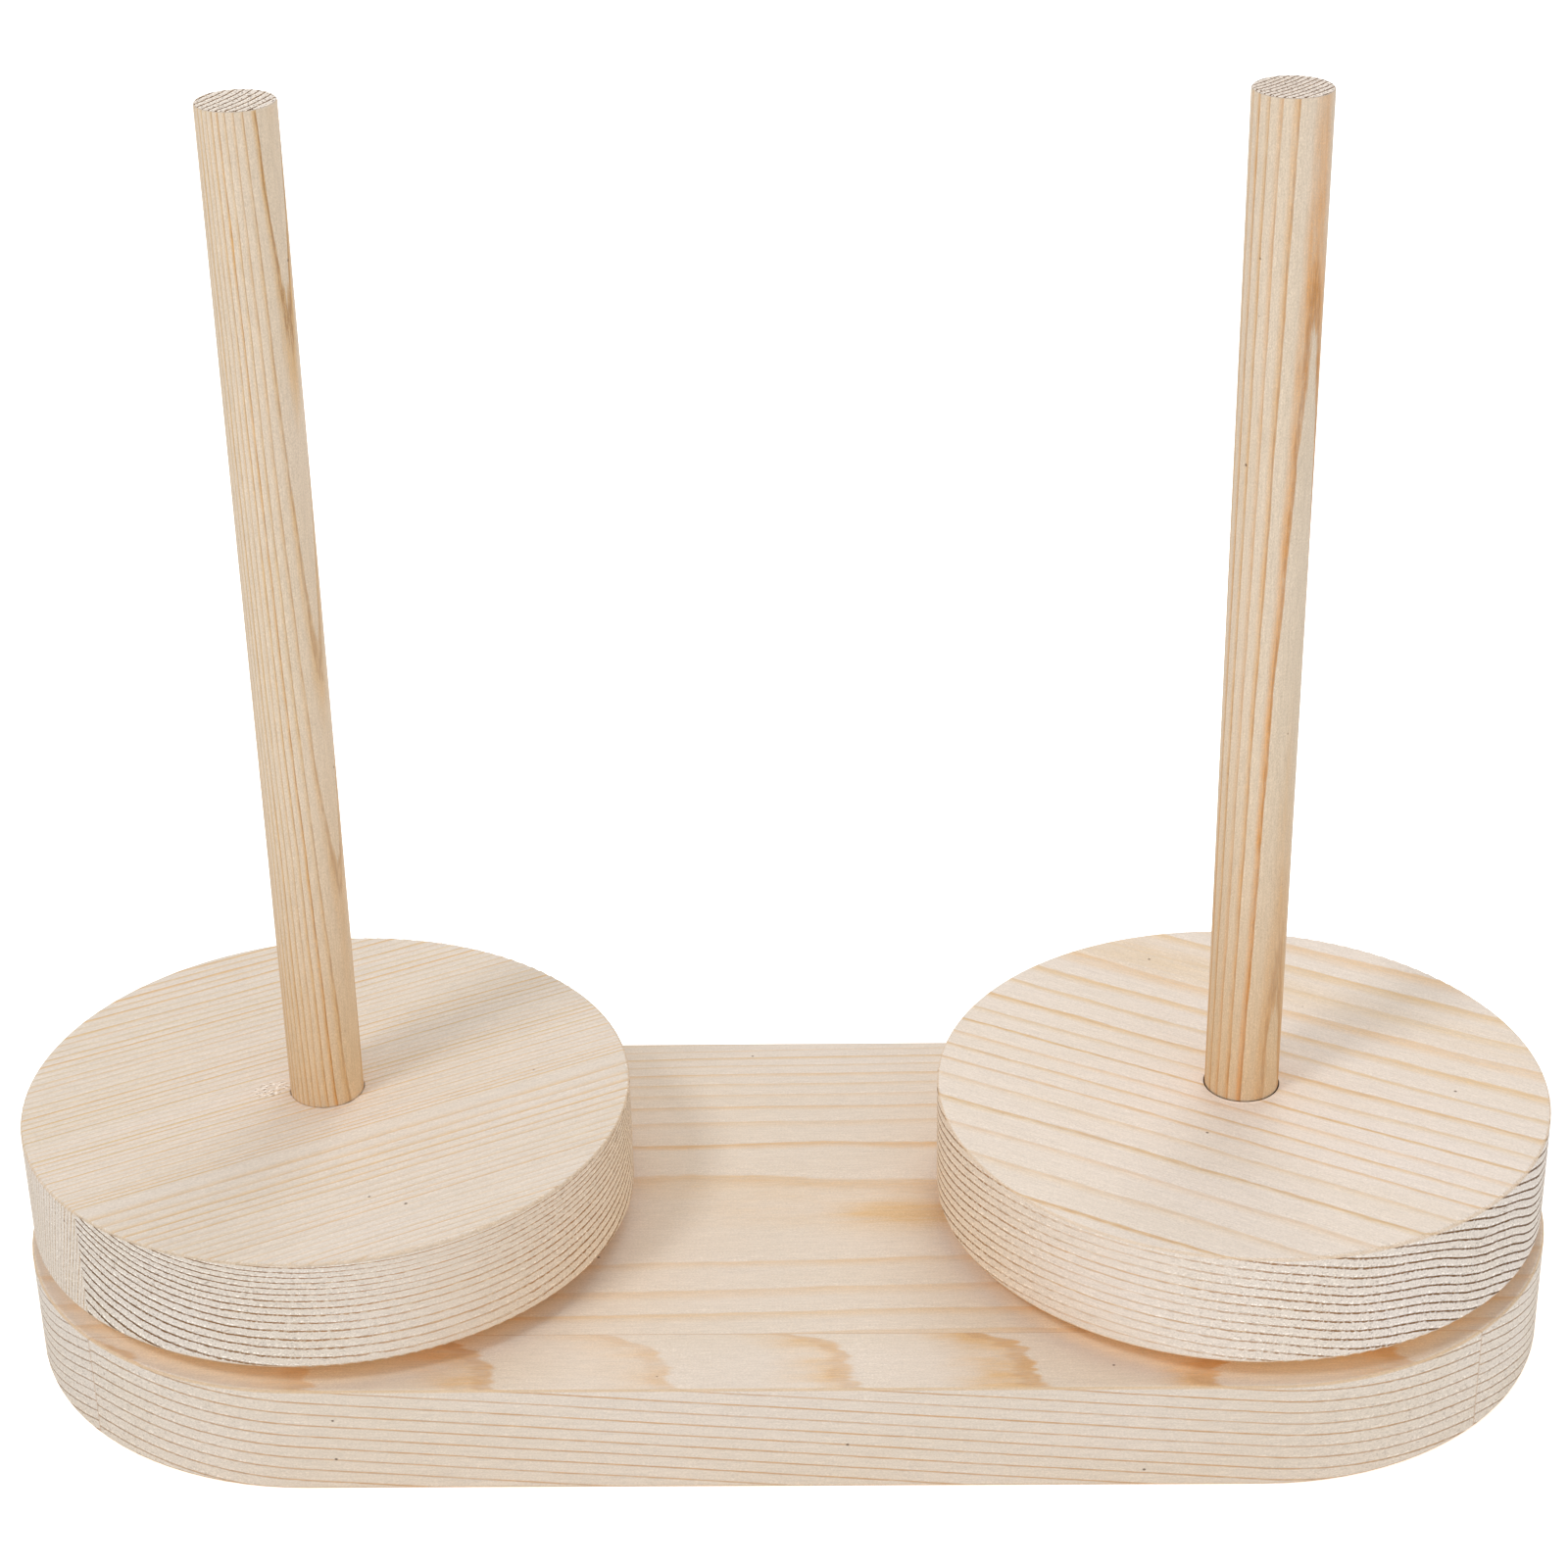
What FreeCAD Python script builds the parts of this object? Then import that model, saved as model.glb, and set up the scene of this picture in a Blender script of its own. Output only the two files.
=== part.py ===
import FreeCAD, Part

# A free-standing wooden yarn holder. Two thick round turntables float side by side above a
# stadium-shaped base board, and each one has a dowel spindle standing in its centre. Each
# turntable spins on a small shielded ball bearing, which is clamped on an axle bolt that comes
# up through the base.
#
# Frame: millimetres, +Z up, X along the base's length, the origin in the middle of the base's
# underside. Each piece is drawn about its own axis, with its lower face at z = 0, and its
# Placement puts it on its own side and at its own height.

import math
import os

import Sketcher

SHEET = "dimensions"

DIMENSIONS = {
    # base board
    "base_length": 303.0,
    "base_width": 122.0,
    "base_thickness": 23.0,
    "base_edge_round": 0.7,
    "bolt_hole_diameter": 5.3,
    "counterbore_diameter": 16.0,
    "counterbore_depth": 5.5,
    # turntables
    "gap": 4.5,
    "disc_diameter": 120.0,
    "disc_thickness": 23.5,
    "disc_edge_round": 0.7,
    "nut_chamber_diameter": 12.0,
    "socket_diameter": 14.0,
    "socket_depth": 11.0,
    "left_socket_bevel": 0.28,
    "right_socket_bevel": 0.45,
    # spindles
    "dowel_diameter": 14.4,
    "dowel_exposed": 200.0,
    "dowel_edge_round": 0.5,
    "tenon_diameter": 13.8,
    "tenon_bevel": 0.6,
    # axle hardware, M5
    "thread_diameter": 5.0,
    "bolt_length": 35.0,
    "bolt_head_height": 3.5,
    "bolt_end_bevel": 0.6,
    "across_flats": 8.0,
    "hexagon_bevel": 0.45,
    "wide_washer_diameter": 15.0,
    "wide_washer_thickness": 1.2,
    "small_washer_diameter": 8.4,
    "small_washer_thickness": 1.0,
    "washer_bore": 5.3,
    "washer_bevel": 0.15,
    "sleeve_diameter": 8.0,
    "sleeve_bore": 5.2,
    "nut_height": 5.0,
    "insert_diameter": 6.6,
    "insert_height": 1.1,
    "insert_recess": 1.3,
    # deep-groove ball bearing, 5 x 16 x 5
    "bearing_bore": 5.0,
    "bearing_diameter": 16.0,
    "bearing_width": 5.0,
    "race_edge_round": 0.2,
    "inner_shoulder_diameter": 8.4,
    "outer_shoulder_diameter": 12.6,
    "pitch_diameter": 10.5,
    "ball_diameter": 2.8,
    "groove_diameter": 2.88,
    "ball_count": 8,
    "cage_inner_diameter": 9.1,
    "cage_outer_diameter": 11.9,
    "cage_height": 3.4,
    "cage_window_diameter": 2.9,
    "shield_seat_diameter": 13.8,
    "shield_seat_depth": 0.6,
    "shield_bore": 8.7,
    "shield_thickness": 0.3,
}

# Which way each side lies from the middle of the base.
SIDES = {"left": -1, "right": 1}

# Expressions in the sheet's cells: the spindles' distance from the middle, and the heights of
# pieces above the base's underside.
SPINDLE_OFFSET = "( base_length - base_width ) / 2"
HEAD_WASHER_Z = "counterbore_depth - wide_washer_thickness"
BOLT_HEAD_Z = HEAD_WASHER_Z + " - bolt_head_height"
SLEEVE_Z = "base_thickness + wide_washer_thickness"
SLEEVE_HEIGHT = "gap - wide_washer_thickness"
DISC_Z = "base_thickness + gap"
BEARING_TOP_Z = DISC_Z + " + bearing_width"
NUT_Z = BEARING_TOP_Z + " + small_washer_thickness"
DOWEL_Z = DISC_Z + " + disc_thickness - socket_depth"
HEXAGON_CORNERS = "2 * across_flats / sqrt(3)"

# Two heights or radii are the same when they are this close.
TOLERANCE = 1e-4
UP = FreeCAD.Vector(0, 0, 1)

doc = FreeCAD.newDocument("yarn_holder")


def make_sheet():
    """The driving dimensions, one to a row, each cell with its name as alias."""
    sheet = doc.addObject("Spreadsheet::Sheet", SHEET)
    for row, (name, size) in enumerate(DIMENSIONS.items(), start=1):
        sheet.set(f"A{row}", name)
        sheet.set(f"B{row}", str(size))
        sheet.setAlias(f"B{row}", name)
    doc.recompute()


def formula(text):
    """An expression in FreeCAD's form, with the sheet's name before each dimension's."""
    words = text.split()
    return " ".join(f"{SHEET}.{word}" if word in DIMENSIONS else word for word in words)


def bind(thing, **expressions):
    """Bind an object's properties to expressions in the dimensions."""
    for name, text in expressions.items():
        thing.setExpression(name, formula(text))


def new_body(label, side, height):
    """An empty body, on its side's spindle axis or in the middle (side 0), at a height."""
    body = doc.addObject("PartDesign::Body", label)
    body.Label = label
    body.setExpression("Placement.Base.x", formula(f"{side} * {SPINDLE_OFFSET} * 1 mm"))
    body.setExpression("Placement.Base.z", formula(f"( {height} ) * 1 mm"))
    return body


def attach(body, feature, plane, **offsets):
    """Put a sketch or primitive on one of the body's origin planes, moved along its axes."""
    datum = next(item for item in body.Origin.OriginFeatures if item.Role == plane)
    feature.AttachmentSupport = [(datum, "")]
    feature.MapMode = "FlatFace"
    for axis, distance in offsets.items():
        feature.setExpression(f"AttachmentOffset.Base.{axis}", formula(f"( {distance} ) * 1 mm"))


def new_sketch(body, name, height="0"):
    """An empty sketch parallel to the body's XY plane, at a height above it."""
    sketch = body.newObject("Sketcher::SketchObject", f"{body.Label}_{name}_outline")
    attach(body, sketch, "XY_Plane", z=height)
    return sketch


def dimension(sketch, name, text, kind, *geometry):
    """Add a named dimension of one kind to a sketch and bind it to an expression."""
    first_guess = 1.0
    index = sketch.addConstraint(Sketcher.Constraint(kind, *geometry, first_guess))
    sketch.renameConstraint(index, name)
    sketch.setExpression(f"Constraints.{name}", formula(text))


def add_circle(sketch, name, diameter, side=0):
    """A circle on the sketch's origin or, on the base board, on one side's spindle axis."""
    circle = sketch.addGeometry(Part.Circle(FreeCAD.Vector(side, 0, 0), UP, 1))
    if side == 0:
        sketch.addConstraint(Sketcher.Constraint("Coincident", circle, 3, -1, 1))
    else:
        sketch.addConstraint(Sketcher.Constraint("PointOnObject", circle, 3, -1))
        ends = (-1, 1, circle, 3) if side > 0 else (circle, 3, -1, 1)
        dimension(sketch, f"{name}_offset", SPINDLE_OFFSET, "DistanceX", *ends)
    dimension(sketch, name, diameter, "Diameter", circle)


def add_stadium(sketch):
    """The base board's outline: two half circles joined by straight sides along X."""
    arcs = {}
    lines = {}
    for side in SIDES.values():
        start = -side * math.pi / 2
        circle = Part.Circle(FreeCAD.Vector(2 * side, 0, 0), UP, 1)
        arcs[side] = sketch.addGeometry(Part.ArcOfCircle(circle, start, start + math.pi))
        arc_end = FreeCAD.Vector(2 * side, side, 0)
        next_arc_start = FreeCAD.Vector(-2 * side, side, 0)
        lines[side] = sketch.addGeometry(Part.LineSegment(arc_end, next_arc_start))
    for side in SIDES.values():
        sketch.addConstraint(Sketcher.Constraint("Tangent", arcs[side], 2, lines[side], 1))
        sketch.addConstraint(Sketcher.Constraint("Tangent", lines[side], 2, arcs[-side], 1))
    left, right = arcs[SIDES["left"]], arcs[SIDES["right"]]
    sketch.addConstraint(Sketcher.Constraint("Symmetric", left, 3, right, 3, -1, 1))
    sketch.addConstraint(Sketcher.Constraint("Equal", left, right))
    sketch.addConstraint(Sketcher.Constraint("Horizontal", lines[SIDES["right"]]))
    dimension(sketch, "end_radius", "base_width / 2", "Radius", right)
    dimension(sketch, "straight", "base_length - base_width", "DistanceX", left, 3, right, 3)


def add_hexagon(sketch):
    """A regular hexagon round the sketch's origin, with two of its sides level."""
    turns = [math.radians(60 * corner) for corner in range(6)]
    points = [FreeCAD.Vector(math.cos(turn), math.sin(turn), 0) for turn in turns]
    rim = sketch.addGeometry(Part.Circle(FreeCAD.Vector(), UP, 1), True)
    sketch.addConstraint(Sketcher.Constraint("Coincident", rim, 3, -1, 1))
    sides = [
        sketch.addGeometry(Part.LineSegment(points[corner], points[(corner + 1) % 6]))
        for corner in range(6)
    ]
    for corner, side in enumerate(sides):
        following = sides[(corner + 1) % 6]
        sketch.addConstraint(Sketcher.Constraint("Coincident", side, 2, following, 1))
        sketch.addConstraint(Sketcher.Constraint("PointOnObject", side, 1, rim))
        if corner:
            sketch.addConstraint(Sketcher.Constraint("Equal", sides[0], side))
    sketch.addConstraint(Sketcher.Constraint("Horizontal", sides[1]))
    dimension(sketch, "corners", HEXAGON_CORNERS, "Diameter", rim)


def pad(body, name, sketch, length):
    """Raise a sketch's outline into a solid."""
    feature = body.newObject("PartDesign::Pad", f"{body.Label}_{name}")
    feature.Profile = sketch
    bind(feature, Length=length)
    return feature


def pocket(body, name, sketch, depth, upward):
    """Cut a sketch's outline out of the body, upward or downward from its plane."""
    feature = body.newObject("PartDesign::Pocket", f"{body.Label}_{name}")
    feature.Profile = sketch
    feature.Reversed = upward
    bind(feature, Length=depth)
    return feature


def bore(body, name, diameter, depth, height="0", upward=True):
    """A round pocket on the body's own axis."""
    sketch = new_sketch(body, name, height)
    add_circle(sketch, name, diameter)
    return pocket(body, name, sketch, depth, upward)


def dress(body, kind, name, base, edges, size):
    """Round ("Fillet") or bevel ("Chamfer") some of a feature's edges."""
    feature = body.newObject(f"PartDesign::{kind}", f"{body.Label}_{name}")
    feature.Base = (base, edges)
    bind(feature, **{"Radius" if kind == "Fillet" else "Size": size})
    return feature


def level_edges(feature, height, low=0.0, high=math.inf):
    """Names of the edges that lie level at a height and reach between two distances out."""
    doc.recompute()
    names = []
    for index, edge in enumerate(feature.Shape.Edges, start=1):
        box = edge.BoundBox
        reach = max(abs(box.YMin), abs(box.YMax))
        level = max(abs(box.ZMin - height), abs(box.ZMax - height)) < TOLERANCE
        if level and low - TOLERANCE < reach < high + TOLERANCE:
            names.append(f"Edge{index}")
    return names


def top_edges(feature):
    """The level edges at a feature's greatest height."""
    doc.recompute()
    return level_edges(feature, feature.Shape.BoundBox.ZMax)


def rim_edges(feature, low=0.0):
    """The level edges at a feature's least and greatest heights."""
    doc.recompute()
    box = feature.Shape.BoundBox
    return level_edges(feature, box.ZMin, low) + level_edges(feature, box.ZMax, low)


def make_ring(label, side, height, outer, inner, thickness):
    """A body with a flat ring in it: a washer, a sleeve or the blank of a race."""
    body = new_body(label, side, height)
    sketch = new_sketch(body, "ring")
    add_circle(sketch, "outer", outer)
    add_circle(sketch, "inner", inner)
    return body, pad(body, "ring", sketch, thickness)


def make_washer(label, side, height, diameter, thickness):
    """A flat washer with its outer rims slightly broken."""
    body, blank = make_ring(label, side, height, diameter, "washer_bore", thickness)
    rims = rim_edges(blank, low=DIMENSIONS["small_washer_diameter"] / 2)
    dress(body, "Chamfer", "rims", blank, rims, "washer_bevel")


def add_hexagon_head(body, height):
    """A turned blank with bevelled rims and six milled flats, as bolts and nuts are made."""
    blank_outline = new_sketch(body, "blank")
    add_circle(blank_outline, "corners", HEXAGON_CORNERS)
    blank = pad(body, "blank", blank_outline, height)
    dress(body, "Chamfer", "rims", blank, rim_edges(blank), "hexagon_bevel")
    flats_outline = new_sketch(body, "flats")
    add_circle(flats_outline, "outside", HEXAGON_CORNERS + " + across_flats")
    add_hexagon(flats_outline)
    pocket(body, "flats", flats_outline, height, upward=True)


def make_base_board():
    """The stadium-shaped board, with a counterbored bolt hole under each turntable."""
    body = new_body("base_board", 0, "0")
    outline = new_sketch(body, "board")
    add_stadium(outline)
    pad(body, "board", outline, "base_thickness")
    for name, diameter, depth in (
        ("bolt_holes", "bolt_hole_diameter", "base_thickness"),
        ("counterbores", "counterbore_diameter", "counterbore_depth"),
    ):
        sketch = new_sketch(body, name)
        for label, side in SIDES.items():
            add_circle(sketch, label, diameter, side)
        bored = pocket(body, name, sketch, depth, upward=True)
    outside = rim_edges(bored, low=DIMENSIONS["counterbore_diameter"])
    dress(body, "Fillet", "arris", bored, outside, "base_edge_round")


def make_turntable(label, side):
    """A thick disc: bearing seat below, nut chamber in the middle, dowel socket on top."""
    body = new_body(f"{label}_turntable", side, DISC_Z)
    outline = new_sketch(body, "disc")
    add_circle(outline, "disc", "disc_diameter")
    pad(body, "disc", outline, "disc_thickness")
    bore(body, "nut_chamber", "nut_chamber_diameter", "disc_thickness")
    bore(body, "bearing_seat", "bearing_diameter", "bearing_width")
    socket = bore(body, "socket", "socket_diameter", "socket_depth", "disc_thickness", upward=False)
    arris = dress(body, "Fillet", "arris", socket,
                  rim_edges(socket, low=DIMENSIONS["disc_diameter"] / 2), "disc_edge_round")
    mouth = level_edges(arris, DIMENSIONS["disc_thickness"], high=DIMENSIONS["socket_diameter"] / 2)
    dress(body, "Chamfer", "mouth", arris, mouth, f"{label}_socket_bevel")


def make_spindle(label, side):
    """A dowel with rounded top, and a slightly slimmer tenon that drops into the socket."""
    body = new_body(f"{label}_spindle", side, DOWEL_Z)
    tenon_outline = new_sketch(body, "tenon")
    add_circle(tenon_outline, "tenon", "tenon_diameter")
    tenon = pad(body, "tenon", tenon_outline, "socket_depth")
    dress(body, "Chamfer", "tenon_end", tenon, level_edges(tenon, 0.0), "tenon_bevel")
    dowel_outline = new_sketch(body, "dowel", "socket_depth")
    add_circle(dowel_outline, "dowel", "dowel_diameter")
    dowel = pad(body, "dowel", dowel_outline, "dowel_exposed")
    dress(body, "Fillet", "top_arris", dowel, top_edges(dowel), "dowel_edge_round")


def make_axle_bolt(label, side):
    """A hexagon-head bolt, head down."""
    body = new_body(f"{label}_axle_bolt", side, BOLT_HEAD_Z)
    add_hexagon_head(body, "bolt_head_height")
    shank_outline = new_sketch(body, "shank", "bolt_head_height")
    add_circle(shank_outline, "shank", "thread_diameter")
    shank = pad(body, "shank", shank_outline, "bolt_length")
    dress(body, "Chamfer", "end", shank, top_edges(shank), "bolt_end_bevel")


def make_lock_nut(label, side):
    """A hexagon nut, with a recess in its top for the nylon ring."""
    body = new_body(f"{label}_lock_nut", side, NUT_Z)
    add_hexagon_head(body, "nut_height")
    bore(body, "thread", "thread_diameter", "nut_height")
    bore(body, "insert_recess", "insert_diameter", "insert_recess", "nut_height", upward=False)


def make_inner_race(label, side):
    """The bearing's inner race, with the balls' groove round its outside."""
    body, blank = make_ring(f"{label}_inner_race", side, DISC_Z,
                            "inner_shoulder_diameter", "bearing_bore", "bearing_width")
    dress(body, "Fillet", "rims", blank, rim_edges(blank), "race_edge_round")
    cut_ball_groove(body)


def make_outer_race(label, side):
    """The bearing's outer race, with the balls' groove and a step at each end for a shield."""
    body, blank = make_ring(f"{label}_outer_race", side, DISC_Z,
                            "bearing_diameter", "outer_shoulder_diameter", "bearing_width")
    outside = rim_edges(blank, low=DIMENSIONS["bearing_diameter"] / 2)
    dress(body, "Fillet", "rims", blank, outside, "race_edge_round")
    bore(body, "lower_seat", "shield_seat_diameter", "shield_seat_depth")
    bore(body, "upper_seat", "shield_seat_diameter", "shield_seat_depth", "bearing_width",
         upward=False)
    cut_ball_groove(body)


def cut_ball_groove(body):
    """Take a ring of round section, on the balls' path, out of a race."""
    ring = body.newObject("PartDesign::SubtractiveTorus", f"{body.Label}_ball_groove")
    attach(body, ring, "XY_Plane", z="bearing_width / 2")
    bind(ring, Radius1="pitch_diameter / 2", Radius2="groove_diameter / 2")


def repeat_round_axis(body, feature):
    """Repeat a feature once for each ball of the bearing."""
    pattern = body.newObject("PartDesign::PolarPattern", f"{body.Label}_pattern")
    axis = next(item for item in body.Origin.OriginFeatures if item.Role == "Z_Axis")
    pattern.Originals = [feature]
    pattern.Axis = (axis, [""])
    pattern.Angle = 360
    bind(pattern, Occurrences="ball_count")
    body.Tip = pattern


def make_balls(label, side):
    """The bearing's balls, evenly spaced on their pitch circle."""
    body = new_body(f"{label}_bearing_balls", side, DISC_Z)
    body.AllowCompound = True
    ball = body.newObject("PartDesign::AdditiveSphere", f"{body.Label}_ball")
    attach(body, ball, "XY_Plane", x="pitch_diameter / 2", z="bearing_width / 2")
    bind(ball, Radius="ball_diameter / 2")
    repeat_round_axis(body, ball)


def make_cage(label, side):
    """The ring between the races, with a round window right through it for each ball."""
    height = DISC_Z + " + ( bearing_width - cage_height ) / 2"
    body, _ = make_ring(f"{label}_bearing_cage", side, height,
                        "cage_outer_diameter", "cage_inner_diameter", "cage_height")
    window = body.newObject("PartDesign::SubtractiveCylinder", f"{body.Label}_window")
    attach(body, window, "YZ_Plane", y="cage_height / 2")
    bind(window, Radius="cage_window_diameter / 2", Height="cage_outer_diameter")
    repeat_round_axis(body, window)


def make_shields(label, side):
    """Two thin rings against the steps at the outer race's ends, clear of the inner race."""
    body = new_body(f"{label}_bearing_shields", side, DISC_Z)
    body.AllowCompound = True
    for name, height in (
        ("lower", "shield_seat_depth - shield_thickness"),
        ("upper", "bearing_width - shield_seat_depth"),
    ):
        sketch = new_sketch(body, name, height)
        add_circle(sketch, "outer", "shield_seat_diameter")
        add_circle(sketch, "inner", "shield_bore")
        pad(body, name, sketch, "shield_thickness")


def make_side(label, side):
    """Everything that stands on one axle."""
    make_turntable(label, side)
    make_spindle(label, side)
    make_axle_bolt(label, side)
    make_washer(f"{label}_head_washer", side, HEAD_WASHER_Z,
                "wide_washer_diameter", "wide_washer_thickness")
    make_washer(f"{label}_gap_washer", side, "base_thickness",
                "wide_washer_diameter", "wide_washer_thickness")
    make_ring(f"{label}_spacer_sleeve", side, SLEEVE_Z,
              "sleeve_diameter", "sleeve_bore", SLEEVE_HEIGHT)
    make_inner_race(label, side)
    make_outer_race(label, side)
    make_balls(label, side)
    make_cage(label, side)
    make_shields(label, side)
    make_washer(f"{label}_top_washer", side, BEARING_TOP_Z,
                "small_washer_diameter", "small_washer_thickness")
    make_lock_nut(label, side)
    make_ring(f"{label}_nut_insert", side, NUT_Z + " + nut_height - insert_recess",
              "insert_diameter", "thread_diameter", "insert_height")


def check_document():
    """Stop if anything in the document failed, is loose, or is a cut that took nothing away."""
    for thing in doc.Objects:
        if "Invalid" in thing.State or "Error" in thing.State:
            raise RuntimeError(f"{thing.Name} failed: {thing.State}")
        if thing.TypeId == "Sketcher::SketchObject" and not thing.FullyConstrained:
            raise RuntimeError(f"{thing.Name} is not fully constrained")
        if thing.TypeId == "PartDesign::Pocket":
            before = thing.BaseFeature.Shape.Volume
            if thing.Shape.Volume > before - TOLERANCE:
                raise RuntimeError(f"{thing.Name} cuts nothing")


def export_parts():
    """Write each body to a file of its own, named after it."""
    os.makedirs("parts", exist_ok=True)
    bodies = [thing for thing in doc.Objects if thing.TypeId == "PartDesign::Body"]
    for body in bodies:
        if body.Shape.isNull() or not body.Shape.isValid():
            raise RuntimeError(f"{body.Label} has no valid shape")
    for body in bodies:
        body.Shape.exportStep(f"parts/{body.Label}.step")
        print(f"{body.Label}: {len(body.Shape.Solids)} solid(s), {body.Shape.Volume:.2f} mm3")


make_sheet()
make_base_board()
for side_label, side_sign in SIDES.items():
    make_side(side_label, side_sign)
doc.recompute()
check_document()
export_parts()
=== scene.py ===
"""Looks for a twin-spindle rotating yarn holder: bare pine boards, discs and dowels over a few steel parts.

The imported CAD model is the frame. The patterns of the wood and the metal are worked out in millimetres, in
each piece's own place at rest, so they stay on it when it turns. The stage, lamps and camera are in metres.
"""

import math

import bpy
from mathutils import Matrix, Vector


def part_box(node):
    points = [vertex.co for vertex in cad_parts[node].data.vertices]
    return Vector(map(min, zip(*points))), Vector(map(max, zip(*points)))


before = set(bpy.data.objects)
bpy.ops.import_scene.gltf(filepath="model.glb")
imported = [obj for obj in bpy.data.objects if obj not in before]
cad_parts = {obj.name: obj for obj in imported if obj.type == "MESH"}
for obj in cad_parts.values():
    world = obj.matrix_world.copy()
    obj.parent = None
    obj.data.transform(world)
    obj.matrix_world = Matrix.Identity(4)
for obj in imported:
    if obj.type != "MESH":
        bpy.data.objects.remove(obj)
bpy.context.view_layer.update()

MM = 0.001
SIDES = ("left", "right")


# ---------------------------------------------------------------- node graphs written as arithmetic

class Signal:
    """A value that a material's nodes work out at each point. Arithmetic on it adds nodes."""

    def __init__(self, graph, socket):
        self.graph = graph
        self.socket = socket

    def __add__(self, other):
        return self.graph.math("ADD", self, other)

    def __sub__(self, other):
        return self.graph.math("SUBTRACT", self, other)

    def __rsub__(self, other):
        return self.graph.math("SUBTRACT", other, self)

    def __mul__(self, other):
        return self.graph.math("MULTIPLY", self, other)

    def __truediv__(self, other):
        return self.graph.math("DIVIDE", self, other)

    __radd__ = __add__
    __rmul__ = __mul__

    def power(self, exponent):
        return self.graph.math("POWER", self, exponent)

    def floor(self):
        return self.graph.math("FLOOR", self)

    def size(self):
        return self.graph.math("ABSOLUTE", self)


class Graph:
    """One material's nodes."""

    def __init__(self, name):
        self.material = bpy.data.materials.new(name)
        self.material.use_nodes = True
        self.tree = self.material.node_tree
        self.tree.nodes.clear()

    def node(self, kind, inputs, **settings):
        made = self.tree.nodes.new(kind)
        for key, value in settings.items():
            setattr(made, key, value)
        for key, value in inputs.items():
            if isinstance(value, Signal):
                self.tree.links.new(value.socket, made.inputs[key])
            else:
                made.inputs[key].default_value = value
        return made

    def math(self, operation, *values):
        made = self.node("ShaderNodeMath", dict(enumerate(values)), operation=operation)
        return Signal(self, made.outputs[0])

    def smooth(self, value, low, high):
        """0 below low, 1 above high and a soft step between; low may be the larger of the two."""
        made = self.node("ShaderNodeMapRange", {0: value, 1: low, 2: high},
                         interpolation_type="SMOOTHSTEP")
        return Signal(self, made.outputs[0])

    def vector(self, x, y, z):
        return Signal(self, self.node("ShaderNodeCombineXYZ", {0: x, 1: y, 2: z}).outputs[0])

    def noise(self, place, detail=2.0, roughness=0.5):
        """Smooth noise round 0, about -1 to 1."""
        made = self.node("ShaderNodeTexNoise",
                         {"Vector": place, "Scale": 1.0, "Detail": detail, "Roughness": roughness})
        return Signal(self, made.outputs[0]) * 2.0 - 1.0

    def cells(self, place):
        """Distance to the nearest of scattered points."""
        made = self.node("ShaderNodeTexVoronoi", {"Vector": place, "Scale": 1.0, "Randomness": 1.0})
        return Signal(self, made.outputs["Distance"])

    def chance(self, number, seed):
        """A number from 0 to 1 that belongs to a whole number, such as a ring's."""
        made = self.node("ShaderNodeTexWhiteNoise", {"W": number + seed}, noise_dimensions="1D")
        return Signal(self, made.outputs[0])

    def mix(self, share, first, second, blend="MIX"):
        made = self.node("ShaderNodeMix", {0: share, 6: first, 7: second},
                         data_type="RGBA", blend_type=blend)
        return Signal(self, made.outputs[2])

    def length(self, x, y):
        return self.math("SQRT", x * x + y * y)

    def split(self, vector):
        made = self.node("ShaderNodeSeparateXYZ", {0: vector})
        return [Signal(self, socket) for socket in made.outputs]

    def place_mm(self):
        """x, y, z of the point at rest, in millimetres."""
        coordinates = self.node("ShaderNodeTexCoord", {})
        return [axis * (1 / MM) for axis in self.split(Signal(self, coordinates.outputs["Object"]))]

    def facing(self):
        """x, y, z of the surface's direction, without bumps."""
        coordinates = self.node("ShaderNodeTexCoord", {})
        return self.split(Signal(self, coordinates.outputs["Normal"]))

    def finish(self, colour, roughness, height, bump_mm, specular=0.5, metallic=0.0, **extra):
        """Joins the signals to a Principled shader and gives back the material."""
        bump = self.node("ShaderNodeBump", {"Strength": 1.0, "Distance": bump_mm * MM, "Height": height})
        shader = self.node("ShaderNodeBsdfPrincipled", {
            "Base Color": colour, "Roughness": roughness, "Metallic": metallic,
            "Specular IOR Level": specular, "Normal": Signal(self, bump.outputs[0]), **extra})
        output = self.node("ShaderNodeOutputMaterial", {"Surface": Signal(self, shader.outputs[0])})
        output.is_active_output = True
        return self.material


def colour(red, green, blue):
    """A display colour, 0 to 255, as the linear colour that a shader takes."""
    def linear(level):
        share = level / 255
        return share / 12.92 if share <= 0.04045 else ((share + 0.055) / 1.055) ** 2.4
    return (linear(red), linear(green), linear(blue), 1.0)


# ---------------------------------------------------------------- wood

EARLYWOOD = colour(206, 194, 182)
LATEWOOD = colour(204, 172, 134)
OLIVE_LATEWOOD = colour(196, 178, 142)
RING_EDGE = colour(176, 138, 104)
END_GRAIN = colour(207, 198, 189)
END_EDGE = colour(94, 66, 40)
BRIGHT_FIBRE = colour(246, 240, 232)
WORN_EDGE = colour(200, 174, 144)
SPECK = colour(84, 64, 48)
SOCKET_SHADE = colour(66, 44, 28)
BOUNCE_TINT = (1.60, 1.30, 0.74, 1.0)


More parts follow.
